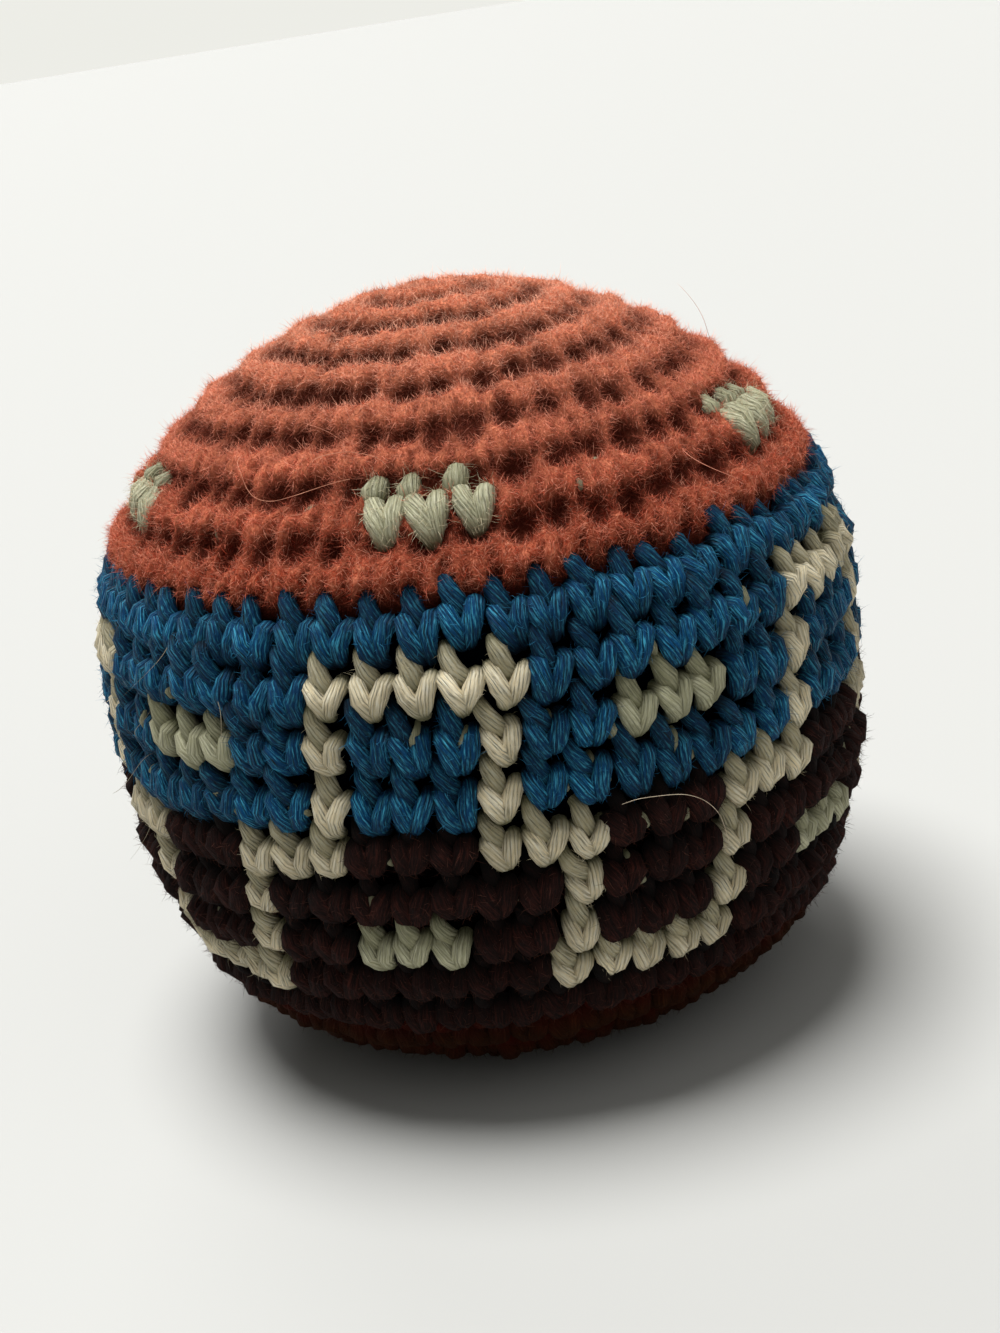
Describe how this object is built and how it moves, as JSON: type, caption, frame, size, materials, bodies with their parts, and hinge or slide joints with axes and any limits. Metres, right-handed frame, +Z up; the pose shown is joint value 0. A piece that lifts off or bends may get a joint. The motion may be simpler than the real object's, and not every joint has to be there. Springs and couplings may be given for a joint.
{
  "type": "footbag",
  "caption": "Round crocheted footbag: a ridged cover in rust, blue and dark brown yarn with a beige stepped line, over a tied pouch of plastic pellets.",
  "frame": {"origin": "centre of the pressed base, where the bag rests on the floor", "axes": "+Z up along the axis of the crochet, from the base's closed centre to the dome's; -Y towards the side that the picture shows"},
  "size_m": [0.065, 0.065, 0.0624],
  "materials": {
    "rust_wool": "matte",
    "blue_cotton": "matte",
    "brown_wool": "matte",
    "beige_cotton": "matte",
    "pouch_cloth": "matte",
    "tie_thread": "matte",
    "pellets": "matte"
  },
  "bodies": {
    "root": {"cover_rust_dome": "rust_wool", "cover_blue_band": "blue_cotton", "cover_brown_band": "brown_wool", "cover_rust_base": "rust_wool", "stepped_line": "beige_cotton", "upper_dash_1": "beige_cotton", "upper_dash_2": "beige_cotton", "upper_dash_3": "beige_cotton", "upper_dash_4": "beige_cotton", "upper_dash_5": "beige_cotton", "lower_dash_1": "beige_cotton", "lower_dash_2": "beige_cotton", "lower_dash_3": "beige_cotton", "lower_dash_4": "beige_cotton", "lower_dash_5": "beige_cotton", "dome_dash_1": "beige_cotton", "dome_dash_2": "beige_cotton", "dome_dash_3": "beige_cotton", "dome_dash_4": "beige_cotton", "dome_dash_5": "beige_cotton", "pouch": "pouch_cloth", "pouch_tie": "tie_thread", "pellet_filling": "pellets"}
  },
  "joints": []
}
